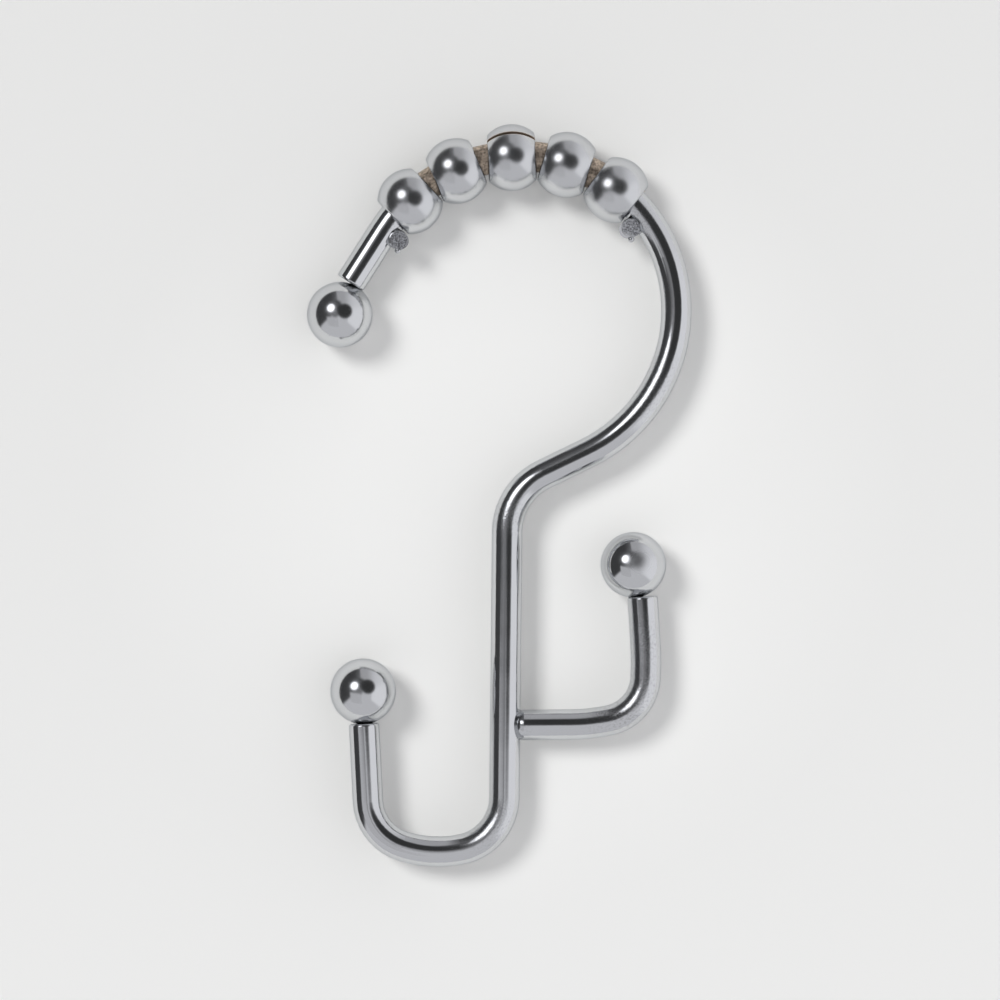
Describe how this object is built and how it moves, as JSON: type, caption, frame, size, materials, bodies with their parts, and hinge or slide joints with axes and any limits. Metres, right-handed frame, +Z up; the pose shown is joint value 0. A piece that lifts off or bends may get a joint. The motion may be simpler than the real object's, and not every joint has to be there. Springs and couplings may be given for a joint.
{
  "type": "shower curtain hook",
  "caption": "Shower curtain hook of bent chromed wire with ball ends, a side branch for the liner, and loose rollers on the crown that run along the rod.",
  "frame": {"origin": "on the table under the middle of the hook's footprint, with the hook lying flat", "axes": "+X to the right of the rod bowl, on the liner hook's side; +Y along the shank from the curtain hook up to the rod; +Z up, square to the plane of the bends"},
  "size_m": [0.0468, 0.0902, 0.008],
  "materials": {
    "bright_chrome": "bright plated",
    "satin_chrome": "slightly blurred plated",
    "sheared_steel": "rough plated over a sheared end"
  },
  "bodies": {
    "hook": {"frame_wire": "bright_chrome", "branch_wire": "bright_chrome", "rod_tip_ball": "bright_chrome", "curtain_tip_ball": "bright_chrome", "liner_tip_ball": "bright_chrome", "left_stop_stud": "sheared_steel", "right_stop_stud": "sheared_steel"},
    "roller_1": {"roller_ball_1": "satin_chrome"},
    "roller_2": {"roller_ball_2": "satin_chrome"},
    "roller_3": {"roller_ball_3": "satin_chrome"},
    "roller_4": {"roller_ball_4": "satin_chrome"},
    "roller_5": {"roller_ball_5": "satin_chrome"}
  },
  "joints": [
    {"name": "roller_1_spin", "type": "hinge", "parent": "hook", "child": "roller_1", "pos_m": [-0.01082, 0.03574, 0.004], "axis": [0.727, 0.6867, 0], "continuous": true},
    {"name": "roller_2_spin", "type": "hinge", "parent": "hook", "child": "roller_2", "pos_m": [-0.00522, 0.03943, 0.004], "axis": [0.9174, 0.3979, 0], "continuous": true},
    {"name": "roller_3_spin", "type": "hinge", "parent": "hook", "child": "roller_3", "pos_m": [0.00153, 0.04101, 0.004], "axis": [0.9988, 0.0498, 0], "continuous": true},
    {"name": "roller_4_spin", "type": "hinge", "parent": "hook", "child": "roller_4", "pos_m": [0.00818, 0.04018, 0.004], "axis": [0.956, -0.2935, 0], "continuous": true},
    {"name": "roller_5_spin", "type": "hinge", "parent": "hook", "child": "roller_5", "pos_m": [0.01416, 0.03712, 0.004], "axis": [0.7963, -0.605, 0], "continuous": true}
  ]
}
